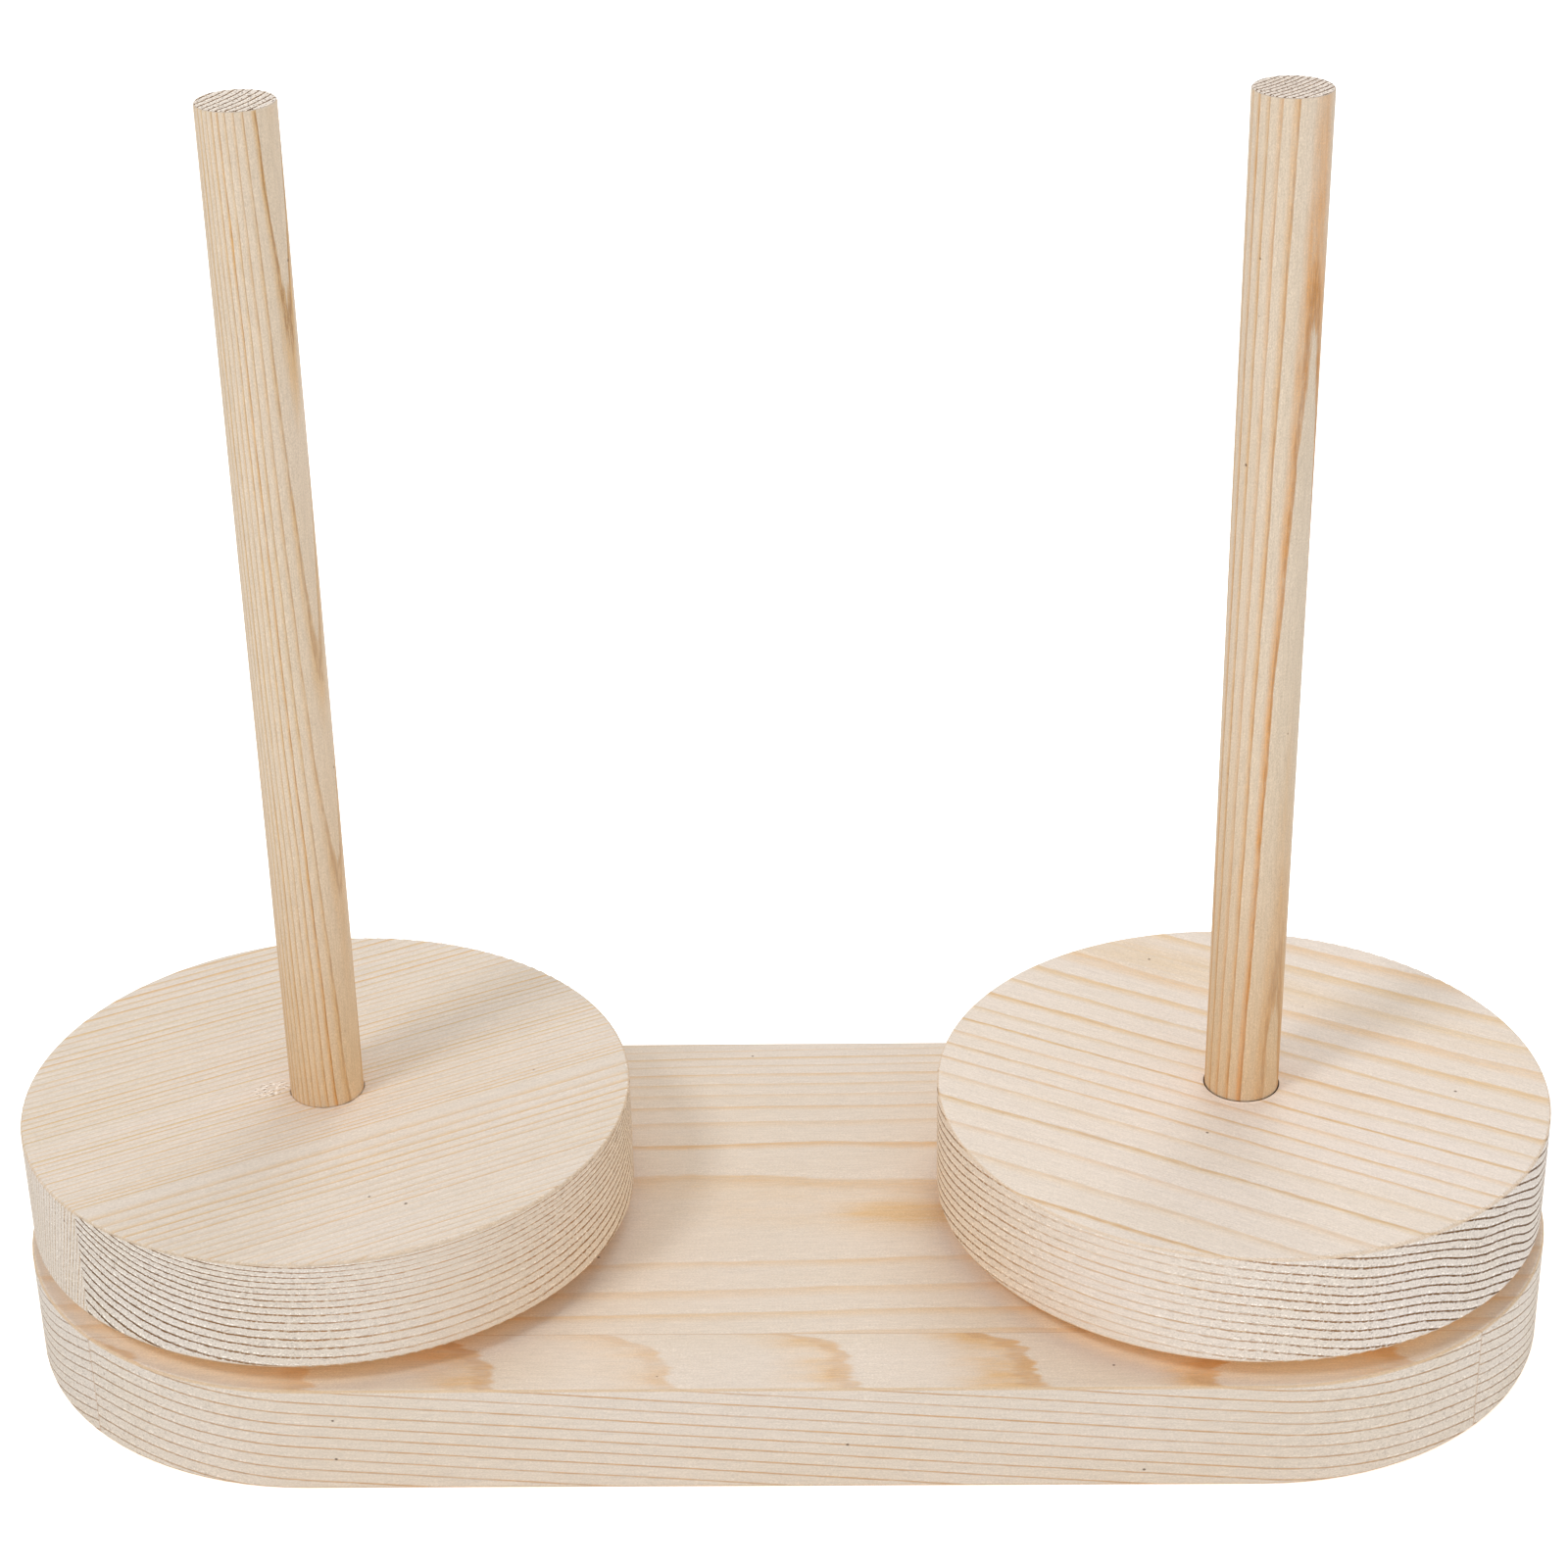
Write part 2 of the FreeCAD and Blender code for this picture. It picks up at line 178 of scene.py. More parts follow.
# A point in the grain's frame is (along, across, depth), in millimetres. Each of the grain's noises has
# its cycles per millimetre along the fibres and across them, the axis that a piece's seed shifts it on,
# its detail and its roughness.
ALONG, ACROSS, DEPTH = range(3)
GRAIN_NOISES = {
    "wander": ((0.013, 0.05), ALONG, 1.0, 0.5),
    "ripple": ((0.06, 0.30), ACROSS, 1.0, 0.5),
    "fray": ((0.30, 2.4), DEPTH, 1.0, 0.5),
    "grit": ((2.6, 4.6), ACROSS, 1.0, 0.5),
    "fibre": ((0.22, 3.4), ACROSS, 2.0, 0.7),
    "streak": ((0.035, 1.0), DEPTH, 2.0, 0.6),
    "patch": ((0.10, 0.28), ACROSS, 2.0, 0.5),
    "cloud": ((0.020, 0.07), ALONG, 1.0, 0.5),
}
SPECK_CELLS = (0.075, 0.09)
SAWN_ACROSS, SAWN_ALONG = 2.1, 0.4

# Where a ring's latewood starts at the latest, where it is full, and where its dark line starts and is
# full, as shares of the ring.
LATEST_START, LATEWOOD_FULL = 0.86, 0.93
LINE_START, LINE_FULL = 0.92, 0.99

WOOD_ROUGHNESS = 0.74
WOOD_SPECULAR = 0.12


def turned_frame(x, y, centre, angle):
    """Distances along and across the grain of a piece whose grain runs at an angle to +X."""
    cos, sin = math.cos(math.radians(angle)), math.sin(math.radians(angle))
    x, y = x - centre[0], y - centre[1]
    return x * cos + y * sin, y * cos - x * sin


def grain_place(g, grain, cycles, shifted_axis, seed):
    """A point in the grain's frame, in a noise's cycles and shifted by the seed."""
    lengthways, crossways = cycles
    place = [grain[ALONG] * lengthways, grain[ACROSS] * crossways, grain[DEPTH] * crossways]
    place[shifted_axis] = place[shifted_axis] + seed
    return g.vector(*place)


def grain_noises(g, grain, seed):
    return {name: g.noise(grain_place(g, grain, cycles, shifted_axis, seed), detail, roughness)
            for name, (cycles, shifted_axis, detail, roughness) in GRAIN_NOISES.items()}


def wood_material(g, rings, grain, faces, look, marks=(), painted_light_tint=(1.0, 1.0, 1.0, 1.0)):
    """Bare sanded pine.

    rings counts growth rings outward: each whole number is the sharp end of one year's dark latewood.
    faces says of each point how far it stands upright, how far it cuts across the fibres, and how far it
    belongs to a rounded edge. marks are further stains and marks, each a share and a colour, among them the
    painted shade and painted highlight round a socket. The last argument is a tint over everything, used for
    painted light: warm bounce light in the gap under the discs, and darker, warmer shade low on a dowel.
    """
    along, across, depth = grain
    upright, end, arris = faces
    seed = look["seed"]
    noises = grain_noises(g, grain, seed)
    frayed, grit, fibre = noises["fray"], noises["grit"], noises["fibre"]
    streak, patch, cloud = noises["streak"], noises["patch"], noises["cloud"]

    # Each point's year, its place in that year's ring, and how dark its latewood and its line are.
    calm = 1 - look["calm"]
    rings = (rings + noises["wander"] * look["wander"] * calm + noises["ripple"] * look["ripple"] * calm
             + frayed * look["fray"] * (upright * 0.6 + 1) * calm)
    year = rings.floor()
    season = rings - year
    strength = g.chance(year, seed) * (1 - look["evenness"]) + look["evenness"]
    start = g.chance(year, seed + 17.3) * look["start_spread"] + look["latewood_start"]
    start = g.math("MINIMUM", start + upright * look["upright_start"] - look["broad"], LATEST_START)
    drop = g.smooth(season, 1.0, look["edge"])
    late = g.smooth(season, start, LATEWOOD_FULL) * drop
    width = upright * look["side_width"] + look["line_width"]
    line = g.smooth(season + width, LINE_START, LINE_FULL) * drop

    late_share = late * strength * look["late"] * (streak * 0.6 + grit * 0.4 + patch * look["patchy"] + 1)
    late_share = g.math("MAXIMUM", late_share, look["stain"] * (streak * 0.9 + patch * 0.6 + 1.1))
    cut = upright * (end * end * (look["end_line"] - look["side_line"]) + look["side_line"] - look["line"])
    broken = g.smooth(frayed + grit * 0.7, -0.35, 0.10)
    broken = broken * look["broken"] + (1 - look["broken"])
    line_strength = strength + upright * (1 - strength) * 0.6
    line_share = line * line_strength * (cut + look["line"]) * broken

    # Bright torn fibres and dark pores where the saw has cut across the fibres, and stray dark specks.
    sawn = g.noise(g.vector(across * SAWN_ACROSS, depth * SAWN_ACROSS, along * SAWN_ALONG + seed), 1.0)
    fleck = g.smooth(season, 0.36, 0.02) + g.smooth(season, 0.50, 0.75) * 0.4
    fleck_share = fleck * g.smooth(sawn * 0.8 + grit, 0.05, 0.50) * (end * (look["fleck"] - 0.12) + 0.12)
    pore = g.smooth(grit * 0.5 + sawn, -0.18, -0.50) * end * look["pore"]
    speck = g.smooth(g.cells(grain_place(g, grain, SPECK_CELLS, ACROSS, seed)), 0.032, 0.014)

    base = g.mix(end * look["end_tone"], EARLYWOOD, look["end_grain"])
    summer = g.mix(g.chance(year, seed + 5.7) * look["olive"], look["latewood"], OLIVE_LATEWOOD)
    base = g.mix(late_share, base, summer)
    base = g.mix(fleck_share, base, BRIGHT_FIBRE)
    base = g.mix(line_share, base, g.mix(end * upright, look["ring_edge"], END_EDGE))
    base = g.mix(pore, base, END_EDGE)
    base = g.mix(speck * 0.8, base, SPECK)
    base = g.mix(arris * look["edge_wear"], base, WORN_EDGE)
    for share, stain in marks:
        base = g.mix(share, base, stain)

    # Light and dark, and warm and cool, from the single fibres up to clouds as large as a hand.
    shade = fibre * (end * 0.06 + look["fibre"]) + grit * (end * 0.10 + look["grit"]) + streak * 0.045 + 1.0
    shade = shade + cloud * 0.025
    green = shade * (cloud * 0.012 + 1.0)
    blue = shade * (cloud * 0.05 + 1.0)
    red_tone, green_tone, blue_tone = look["tone"]
    tinted = g.vector(shade * red_tone, green * green_tone, blue * blue_tone)
    base = g.mix(1.0, base, tinted, blend="MULTIPLY")
    # Painted light over everything: warm bounce light in the gap under the discs, or shade low on a dowel.
    base = g.mix(1.0, base, painted_light_tint, blend="MULTIPLY")
    bounced = Signal(g, g.node("ShaderNodeLightPath", {}).outputs["Is Diffuse Ray"])
    base = g.mix(bounced, base, g.mix(1.0, base, BOUNCE_TINT, blend="MULTIPLY"))

    roughness = fibre * 0.06 + end * 0.10 - late * 0.10 + WOOD_ROUGHNESS
    height = fibre * 0.30 + grit * 0.22 + late * 0.35 - line_share * 0.5 - speck * 1.5 - pore * 0.6
    return g.finish(base, roughness, height, look["relief_mm"], specular=WOOD_SPECULAR)


def look(**changes):
    """How strongly each mark of the wood shows.

    wander, ripple and fray bend the rings, from slow to fine, in rings; calm is where they don't.
    latewood_start, start_spread, upright_start, edge, line_width and side_width are shares of a ring.
    broad is where the latewood spreads over more of a ring, and stain where it fills the wood
    regardless of the rings. late and line are the strengths of the bands and of their dark lines, and
    side_line and end_line are the lines' strengths on upright faces and where they cut the fibres.
    """
    values = {
        "seed": 0.0,
        "wander": 0.35, "ripple": 0.10, "fray": 0.04, "calm": 0.0, "evenness": 0.5,
        "latewood_start": 0.50, "start_spread": 0.15, "upright_start": 0.2, "broad": 0.0, "stain": 0.0,
        "edge": 0.95, "line_width": 0.10, "side_width": 0.12,
        "late": 0.85, "line": 0.35, "side_line": 0.6, "end_line": 0.9, "broken": 0.5,
        "fleck": 0.7, "pore": 0.5, "end_tone": 0.8, "edge_wear": 0.5,
        "fibre": 0.15, "grit": 0.17, "olive": 0.6, "patchy": 0.3, "tone": (1.0, 1.0, 1.0),
        "relief_mm": 0.04,
        "latewood": LATEWOOD, "ring_edge": RING_EDGE, "end_grain": END_GRAIN,
    }
    values.update(changes)
    return values


def centre_mm(node):
    """x and y of a CAD node's middle, in millimetres."""
    low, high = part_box(node)
    return (low.x + high.x) / 2 / MM, (low.y + high.y) / 2 / MM


def facing_parts(g, angle):
    """How far a surface stands upright, how far it cuts across the grain, and how far it is an edge."""
    nx, ny, nz = g.facing()
    cos, sin = math.cos(math.radians(angle)), math.sin(math.radians(angle))
    level = nz.size()
    end = (nx * cos + ny * sin).size()
    arris = g.smooth(level, 0.12, 0.35) * g.smooth(level, 0.96, 0.80)
    return g.smooth(level, 0.75, 0.35), end, arris


# Degrees from +X to each piece's grain.
BASE_GRAIN_ANGLE = 1.5
LEFT_DISC_GRAIN_ANGLE = 29.0
RIGHT_DISC_GRAIN_ANGLE = -29.0

# In millimetres: the glue lines' places across the base and the left disc, how far apart the growth
# rings are, and how far apart the noises of two glued strips are taken. TONGUE_SLOPE is the rise of
# the front strip's rings along the board. The number that ends a count of rings below only sets where
# the rings fall.
BASE_SEAM = -44.0
LEFT_DISC_SEAM = -17.3
WIDE_STRIP_SPACING = 2.3
NARROW_STRIP_SPACING = 2.6
RIGHT_DISC_SPACING = 2.0
STRIP_SHIFT = 300.0
TONGUE_SLOPE = 0.0762


def glued_in_front(g, across, seam):
    """1 in the strip in front of a glue line, 0 in the strip behind it."""
    return g.smooth(across, seam + 0.05, seam - 0.05)


def painted_gap_light(g, x, y, z):
    """Painted light: on the board's top round and under the discs' rims, where the gap is shaded, the wood
    is made brighter and warmer, most towards the front. This stands in for warm light bounced between the
    wood faces.
    """
    low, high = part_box("right_turntable")
    axis, rim = (low.x + high.x) / 2 / MM, (high.x - low.x) / 2 / MM
    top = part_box("base_board")[1].z / MM
    covered = g.smooth(g.length(x.size() - axis, y), rim + 1.0, rim - 5.0)
    on_top = g.smooth(z, top - 0.8, top - 0.2)
    towards_front = g.smooth(y, -25.0, -50.0)
    gap_light_share = covered * on_top * (towards_front * 0.6 + 0.4)
    return g.vector(gap_light_share * 0.44 + 1, gap_light_share * 0.46 + 1, gap_light_share * 0.34 + 1)


def base_wood():
    """A board glued up from a wide strip behind and a narrow strip along the front.

    In the wide strip the rings climb to the back, level out in the middle and steepen at the back edge;
    where they graze the surface one year's latewood shows as a soft flame. In the narrow strip they
    rise along the board, so on top each one ends in a ragged tongue.
    """
    g = Graph("base_pine")
    x, y, z = g.place_mm()
    along, across = turned_frame(x, y, (0, 0), BASE_GRAIN_ANGLE)
    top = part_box("base_board")[1].z / MM
    behind = g.math("MAXIMUM", across - 28.0, 0.0)
    climb = across * 0.33 - g.math("TANH", (across + 1.0) / 16.0) * 5.4 + behind * behind * 0.00775
    wide = (z - top + climb) / WIDE_STRIP_SPACING + 39.95
    rise = (y + 60.0) / 15.0
    curl = (rise * rise) * (rise * rise) * 0.70
    ragged = g.noise(g.vector(x * 0.07, y * 0.38, 11.0), 2.0) * g.smooth(z, top - 2.0, top)
    narrow = (z + x * TONGUE_SLOPE + curl) / NARROW_STRIP_SPACING + ragged * 0.13 + 80.714
    in_front = glued_in_front(g, y, BASE_SEAM)
    rings = wide + (narrow - wide) * in_front

    upright, end, arris = facing_parts(g, 0.0)
    lit_top = 1 - upright
    behind_on_top = (1 - in_front) * lit_top
    middle = (across + 4.5) / 5.0
    flame = g.smooth(along, -2.0, 26.0) * g.math("EXPONENT", middle * middle * -1.0) * behind_on_top
    soft = g.smooth(across, -12.0, -26.0) * behind_on_top
    glue_line = g.smooth((y - BASE_SEAM).size(), 0.22, 0.05) * 0.35
    # Painted light: the board's upright sides are made a little brighter towards its right end, standing in
    # for light from the right.
    right_side_light = g.smooth(x, 85.0, 135.0) * upright * 0.05 + 1
    return wood_material(
        g, rings, (along + in_front * STRIP_SHIFT, across, z), (upright, end, arris),
        look(seed=3.0, wander=0.28, ripple=0.06, fray=0.03, calm=in_front * 0.55, evenness=0.25,
             latewood_start=0.50, start_spread=0.25, upright_start=0.28, side_width=0.03,
             broad=in_front * lit_top * 0.14 + soft * 0.10, stain=flame,
             late=in_front * 0.17 + soft * 0.35 + 0.85, patchy=in_front * 1.1 + 0.3,
             line=in_front * 0.28 + 0.16, side_line=0.66, end_line=0.95, broken=0.45,
             fleck=0.9, end_tone=0.9, edge_wear=0.8, olive=0.35 - in_front * 0.30,
             tone=(right_side_light * 0.90, right_side_light * 0.905, right_side_light * 0.895)),
        marks=[(glue_line, RING_EDGE)], painted_light_tint=painted_gap_light(g, x, y, z))


def socket_marks(g, radius, deep, ring_shade_share, rim_highlight_share):
    """Painted shade and painted highlight at a socket: a dark ring painted round the dowel as the shade of a
    clearance gap, broken in patches where its given share is low, and a bright painted highlight ring a
    little further out.

    radius is the distance from the dowel's axis, and deep the depth below the disc's top. Both marks
    stay at the socket's mouth.
    """
    low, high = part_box("left_spindle")
    off_dowel = radius - (high.x - low.x) / 2 / MM
    # Painted shade: a dark ring on the disc's top just outside the dowel, standing in for a clearance gap's
    # shade.
    dark = g.smooth(off_dowel, 0.36, 0.14) * g.smooth(deep, 0.9, 0.45) * ring_shade_share
    # Painted highlight: a bright ring a little further out from the dowel.
    rim = g.smooth((off_dowel - 0.7).size(), 0.35, 0.1) * rim_highlight_share
    return [(rim, BRIGHT_FIBRE), (dark, SOCKET_SHADE)]


def chip_marks(g, along, across, deep):
    """Fibres torn up on one side of the left socket when it was drilled."""
    off_along, off_across = (along + 10.0) / 4.5, (across - 5.0) / 3.2
    below = g.smooth(deep, 0.2, 2.0) * 9
    near = g.smooth(off_along * off_along + off_across * off_across + below, 1.0, 0.3)
    shred = g.noise(g.vector(along * 1.2, across * 2.6, 7.0), 1.0)
    return [(near * g.smooth(shred, 0.12, 0.32) * 0.8, BRIGHT_FIBRE),
            (near * g.smooth(shred, -0.18, -0.36) * 0.75, END_EDGE)]


def left_disc_wood():
    """Glued from a quarter-sawn strip behind and a strip in front whose side shows level rings."""
    g = Graph("left_disc_pine")
    x, y, z = g.place_mm()
    along, across = turned_frame(x, y, centre_mm("left_turntable"), LEFT_DISC_GRAIN_ANGLE)
    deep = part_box("left_turntable")[1].z / MM - z
    radius = g.length(along, across)
    upright, end, arris = facing_parts(g, LEFT_DISC_GRAIN_ANGLE)

    lean = g.smooth(across, 20.0, 55.0) * 0.55 + 0.25
    behind = g.math("LOGARITHM", (across - deep * lean) * 0.0130 + 1, math.e) * 55.0 + 100.0
    from_seam = g.math("MAXIMUM", LEFT_DISC_SEAM - across, 0.0)
    front_top = from_seam.power(1.345) * 0.131 + 20.1
    bowl = (across + 60.0).power(2.0) / 205.0
    front_side = 60.0 - g.math("LOGARITHM", (deep + bowl) / 18.0 + 1, math.e) * 18.0
    front = front_top + (front_side - front_top) * upright
    in_front = glued_in_front(g, across, LEFT_DISC_SEAM)
    rings = behind + (front - behind) * in_front

    cloud_round = g.noise(g.vector(along * 0.25, across * 0.25, 3.0), 1.0)
    # How strongly the painted shade ring round the left dowel shows, in patches.
    ring_shade_share = g.smooth(cloud_round, 0.1, -0.3) * 0.6
    end = end * (in_front * 0.4 + 0.6)
    return wood_material(
        g, rings, (along + in_front * STRIP_SHIFT, across, z), (upright, end, arris),
        look(seed=7.0, wander=0.30, ripple=0.08, fray=0.06, evenness=0.25,
             latewood_start=0.40, side_width=0.08, late=g.smooth(from_seam, 24.0, 5.0) * 0.6 + 0.75,
             line=0.42, side_line=0.80, end_line=in_front * 3.4 + 0.7, broken=0.8,
             fleck=1.6, pore=0.5, tone=(0.90, 0.905, 0.895)),
        marks=socket_marks(g, radius, deep, ring_shade_share=ring_shade_share, rim_highlight_share=0.0) + chip_marks(g, along, across, deep))


def right_disc_wood():
    """One flat-sawn block: its rings climb from front to back, so the lines on top run down the side.

    In the end grain at the right they are wavy. A flush of colour lies across the back of the top.
    """
    g = Graph("right_disc_pine")
    x, y, z = g.place_mm()
    along, across = turned_frame(x, y, centre_mm("right_turntable"), RIGHT_DISC_GRAIN_ANGLE)
    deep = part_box("right_turntable")[1].z / MM - z
    radius = g.length(along, across)
    upright, end, arris = facing_parts(g, RIGHT_DISC_GRAIN_ANGLE)
    lit_top = 1 - upright

    climb = across * 0.24 + g.math("TANH", (across + 10.0) / 15.0) * 2.7
    wave = g.math("SINE", across * 0.27 + 0.8) * g.smooth(deep, 1.0, 7.0) * g.smooth(along, 15.0, 50.0)
    rings = (climb + wave * 0.5 - deep) / RIGHT_DISC_SPACING + 60.0
    flush = g.smooth(across, 24.0, 34.0) * g.smooth(across, 46.0, 38.0)
    flush = flush * (g.smooth(along, 15.0, -30.0) * 0.30 + 0.12)
    late = g.smooth(across, 20.0, 4.0) * 0.35 + g.smooth(across, -40.0, -15.0) * 0.3 + 0.5
    return wood_material(
        g, rings, (along, across, z), (upright, end, arris),
        look(seed=11.0, wander=0.22, ripple=0.07, fray=0.05, evenness=0.35,
             latewood_start=0.55, start_spread=0.20, side_width=0.09,
             broad=g.smooth(across, 12.0, 34.0) * lit_top * 0.32, stain=flush * lit_top, late=late,
             line=g.smooth(across, 18.0, 4.0) * 0.40 + 0.10, side_line=0.48, end_line=2.9, broken=0.85,
             fleck=1.4, pore=0.5, tone=(0.965, 0.97, 0.975)),
        # Painted shade ring all round the right dowel, and a painted highlight on its rim towards the front.
        marks=socket_marks(g, radius, deep, ring_shade_share=0.95, rim_highlight_share=g.smooth(y, -4.0, -8.0) * 0.3))


TURNED_LOOK = {
    "upright_start": 0.1, "side_width": 0.10, "side_line": 1.0, "fleck": 2.2, "pore": 2.4, "end_tone": 0.9,
    "edge_wear": 0.0, "fibre": 0.19, "grit": 0.23, "olive": 0.4, "patchy": 0.6,
    "tone": (0.887, 0.845, 0.757),
}

# direction is where the rings face, in degrees from +X. spacing and end_spacing are the millimetres
# between rings down the dowel and on its top, and slope is how far they lean for each millimetre up.
DOWELS = {
    "left": {
        "direction": -25.0, "spacing": 1.15, "end_spacing": 1.5, "slope": 0.020, "first_ring": 30.0,
        "look": {**TURNED_LOOK, "seed": 23.0, "wander": 0.4, "ripple": 0.12, "latewood_start": 0.35,
                 "late": 0.75, "line": 0.50, "end_line": 1.6, "broken": 0.85,
                 "latewood": colour(198, 156, 100), "ring_edge": colour(126, 86, 54),
                 "end_grain": colour(217, 212, 212)},
    },
    "right": {
        "direction": -43.0, "spacing": 2.2, "end_spacing": 1.25, "slope": -0.016, "first_ring": 30.23,
        "look": {**TURNED_LOOK, "seed": 27.0, "wander": 0.12, "ripple": 0.08, "latewood_start": 0.40,
                 "late": 0.85, "line": 0.36, "end_line": 2.4, "broken": 0.8,
                 "latewood": colour(202, 152, 100), "ring_edge": colour(122, 80, 48),
                 "end_grain": colour(214, 207, 207)},
    },
}


def dowel_wood(side):
    """Turned dowel: the rings are near-flat layers facing one way, cut as bands down the dowel."""
    dowel = DOWELS[side]
    g = Graph(f"{side}_dowel_pine")
    x, y, z = g.place_mm()
    across, depth = turned_frame(x, y, centre_mm(f"{side}_spindle"), dowel["direction"])
    level = g.facing()[2].size()
    end = g.smooth(level, 0.5, 0.8)
    arris = g.smooth(level, 0.15, 0.35) * g.smooth(level, 0.96, 0.85)
    place = across + depth * depth * 0.012
    turned_rings = (place + z * dowel["slope"]) / dowel["spacing"] + dowel["first_ring"]
    sawn_rings = place / dowel["end_spacing"] + dowel["first_ring"]
    rings = turned_rings + (sawn_rings - turned_rings) * end
    # Painted shade: the dowel is made darker and warmer towards its lower end, where the disc below shuts
    # out the white surroundings and bounces warm light onto it.
    painted_low_shade = g.smooth(z, 140.0, 45.0)
    tint = g.vector(1 - painted_low_shade * 0.10, 1 - painted_low_shade * 0.16, 1 - painted_low_shade * 0.24)
    return wood_material(g, rings, (z * (1 - end), across, depth), (end, end, arris),
                         look(**dowel["look"]), painted_light_tint=tint)


# ---------------------------------------------------------------- metal and nylon

FINE_RELIEF_MM = 0.01


def metal_material(name, tint, roughness, brushed, centre):
    """Plated or ground steel, brushed round the piece's own axis."""
    g = Graph(name)
    x, y, z = g.place_mm()
    radius = g.length(x - centre[0], y - centre[1])
    lathe = g.noise(g.vector(radius * 9.0, z * 9.0, 0.0), 2.0)
    blotch = g.noise(g.vector((x - centre[0]) * 0.45, (y - centre[1]) * 0.45, z * 0.45), 3.0, 0.6)
    shade = lathe * 0.05 * brushed + blotch * 0.07 + 1.0
    base = g.mix(1.0, tint, g.vector(shade, shade, shade * (blotch * 0.02 + 1)), blend="MULTIPLY")
    rough = lathe * 0.08 * brushed + blotch * 0.08 + roughness
    return g.finish(base, rough, lathe * brushed + blotch * 0.3, FINE_RELIEF_MM, metallic=1.0)


def nylon_material():
    """Milky nylon, of the lock nuts' rings."""
    g = Graph("nylon")
    x, y, z = g.place_mm()
    cloud = g.noise(g.vector(x * 0.8, y * 0.8, z * 0.8), 3.0)
    base = g.mix(cloud * 0.5 + 0.5, colour(226, 227, 218), colour(238, 238, 232))
    return g.finish(base, cloud * 0.06 + 0.42, cloud, FINE_RELIEF_MM,
                    **{"Subsurface Weight": 0.2, "Subsurface Radius": (MM, MM, MM)})


METALS = {
    "zinc": {"tint": colour(205, 207, 211), "roughness": 0.34, "brushed": 0.4,
             "pieces": ("axle_bolt", "head_washer", "gap_washer", "spacer_sleeve", "top_washer",
                        "lock_nut")},
    "ground_steel": {"tint": colour(196, 198, 202), "roughness": 0.20, "brushed": 1.0,
                     "pieces": ("inner_race", "outer_race")},
    "shield_steel": {"tint": colour(182, 184, 188), "roughness": 0.30, "brushed": 1.0,
                     "pieces": ("bearing_shields",)},
    "polished_steel": {"tint": colour(214, 216, 220), "roughness": 0.10, "brushed": 0.0,
                       "pieces": ("bearing_balls",)},
    "pressed_steel": {"tint": colour(176, 176, 178), "roughness": 0.38, "brushed": 0.3,
                      "pieces": ("bearing_cage",)},
}


def paint(node, material):
    """Gives a CAD node one material."""
    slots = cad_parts[node].data.materials
    slots.clear()
    slots.append(material)


def paint_everything():
    paint("base_board", base_wood())
    paint("left_turntable", left_disc_wood())
    paint("right_turntable", right_disc_wood())
    nylon = nylon_material()
    for side in SIDES:
        paint(f"{side}_spindle", dowel_wood(side))
        paint(f"{side}_nut_insert", nylon)
        axis = centre_mm(f"{side}_axle_bolt")
        for name, metal in METALS.items():
            made = metal_material(f"{side}_{name}", metal["tint"], metal["roughness"],
                                  metal["brushed"], axis)
            for piece in metal["pieces"]:
                paint(f"{side}_{piece}", made)


# ---------------------------------------------------------------- stage, light, camera

# How far the floor reaches, and how far inside the board's outline its hole stays.
FLOOR_REACH = 8.0
HOLE_INSET = 0.002
FLOOR_STEPS = 96
FLOOR_GLOW = 0.45

# Each lamp's place, its disc's diameter and its watts. They all point at the same place.
LAMPS = {
    "key": ((-0.8, -0.75, 1.4), 0.4, 9.5),
    "back": ((0.3, 0.9, 1.1), 0.8, 5.6),
    "front": ((0.9, -1.6, 0.4), 1.2, 6.5),
}
LAMP_TARGET = (0, 0, 0.08)

# The world's brightness as a light, and as the camera sees it.
WORLD_LIGHT = 0.90
WORLD_SEEN = 1.0

# The camera's angles are in degrees.
CAMERA_PLACE = (0.01472, -0.56668, 0.41122)
CAMERA_DOWN, CAMERA_LEFT, CAMERA_ROLL = 27.35, 1.35, -1.12
LENS_MM = 77.55
SENSOR_MM = 36.0


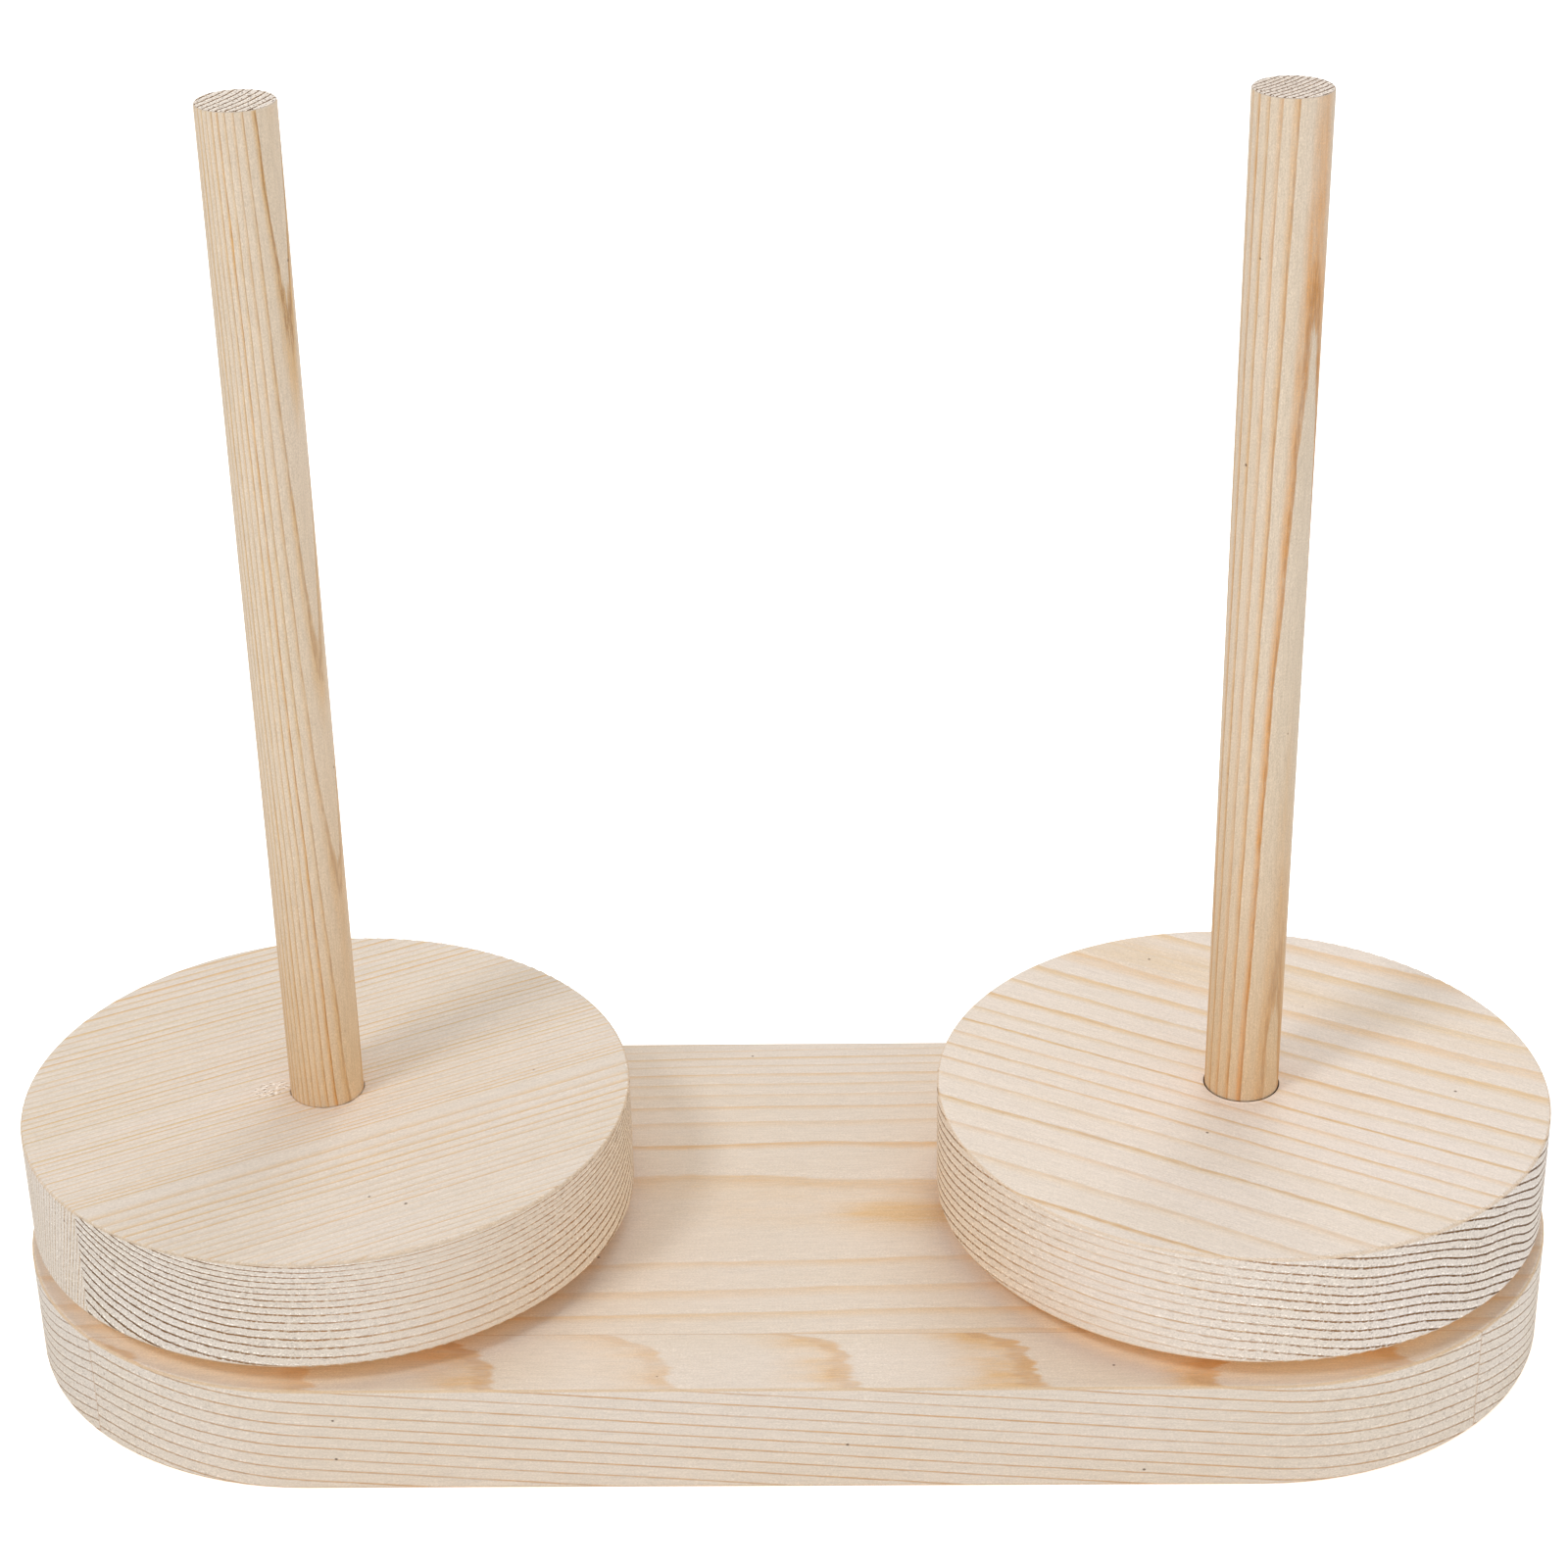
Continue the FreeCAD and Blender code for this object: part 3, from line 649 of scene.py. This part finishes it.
def add_floor():
    """White paper, lit a little from below so that it stays white beside the object.

    It is cut away under the board, where it can't be seen, so that the underside can be looked at.
    """
    low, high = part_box("base_board")
    round_end = (high.y - low.y) / 2 - HOLE_INSET
    straight = (high.x - low.x) / 2 - (high.y - low.y) / 2
    corners, faces = [], []
    for step in range(FLOOR_STEPS):
        angle = 2 * math.pi * (step + 0.5) / FLOOR_STEPS
        cos, sin = math.cos(angle), math.sin(angle)
        corners.append((math.copysign(straight, cos) + round_end * cos, round_end * sin, 0))
        corners.append((FLOOR_REACH * cos, FLOOR_REACH * sin, 0))
        near, following = 2 * step, 2 * ((step + 1) % FLOOR_STEPS)
        faces.append((near, near + 1, following + 1, following))
    mesh = bpy.data.meshes.new("floor")
    mesh.from_pydata(corners, [], faces)
    floor = bpy.data.objects.new("floor", mesh)
    bpy.context.scene.collection.objects.link(floor)
    g = Graph("floor_paper")
    x, y, z = g.place_mm()
    tone = g.noise(g.vector(x * 0.01, y * 0.01, z), 2.0) * 0.004 + 0.95
    seen = Signal(g, g.node("ShaderNodeLightPath", {}).outputs["Is Camera Ray"])
    floor.data.materials.append(g.finish(g.vector(tone, tone, tone), 0.9, tone, 0.0, specular=0.1,
                                         **{"Emission Color": (1.0, 1.0, 1.0, 1.0),
                                            "Emission Strength": seen * FLOOR_GLOW}))


def add_lamp(name, position, size, watts):
    """A round, soft lamp that points at the object."""
    data = bpy.data.lights.new(name, "AREA")
    data.shape = "DISK"
    data.size = size
    data.energy = watts
    lamp = bpy.data.objects.new(name, data)
    lamp.location = position
    aim = Vector(LAMP_TARGET) - Vector(position)
    lamp.rotation_mode = "QUATERNION"
    lamp.rotation_quaternion = aim.to_track_quat("-Z", "Y")
    bpy.context.scene.collection.objects.link(lamp)


def add_light():
    """Even white light from all round, and three soft lamps. The background itself is pure white."""
    world = bpy.data.worlds.new("studio")
    world.use_nodes = True
    tree = world.node_tree
    path = tree.nodes.new("ShaderNodeLightPath")
    level = tree.nodes.new("ShaderNodeMapRange")
    level.inputs["To Min"].default_value = WORLD_LIGHT
    level.inputs["To Max"].default_value = WORLD_SEEN
    background = tree.nodes["Background"]
    background.inputs["Color"].default_value = (1.0, 1.0, 1.0, 1.0)
    tree.links.new(path.outputs["Is Camera Ray"], level.inputs["Value"])
    tree.links.new(level.outputs["Result"], background.inputs["Strength"])
    bpy.context.scene.world = world
    for name, (position, size, watts) in LAMPS.items():
        add_lamp(name, position, size, watts)


def add_camera():
    """The viewing angle: from in front, a little right of centre, looking down at 27 degrees."""
    data = bpy.data.cameras.new("camera")
    data.sensor_width = SENSOR_MM
    data.lens = LENS_MM
    data.clip_start, data.clip_end = 0.01, 50.0
    camera = bpy.data.objects.new("camera", data)
    left = Matrix.Rotation(math.radians(CAMERA_LEFT), 4, "Z")
    tilt = Matrix.Rotation(math.radians(90 - CAMERA_DOWN), 4, "X")
    roll = Matrix.Rotation(math.radians(CAMERA_ROLL), 4, "Z")
    camera.matrix_world = Matrix.Translation(CAMERA_PLACE) @ left @ tilt @ roll
    bpy.context.scene.collection.objects.link(camera)
    bpy.context.scene.camera = camera


paint_everything()
add_floor()
add_light()
add_camera()
bpy.context.scene.view_settings.view_transform = "Standard"
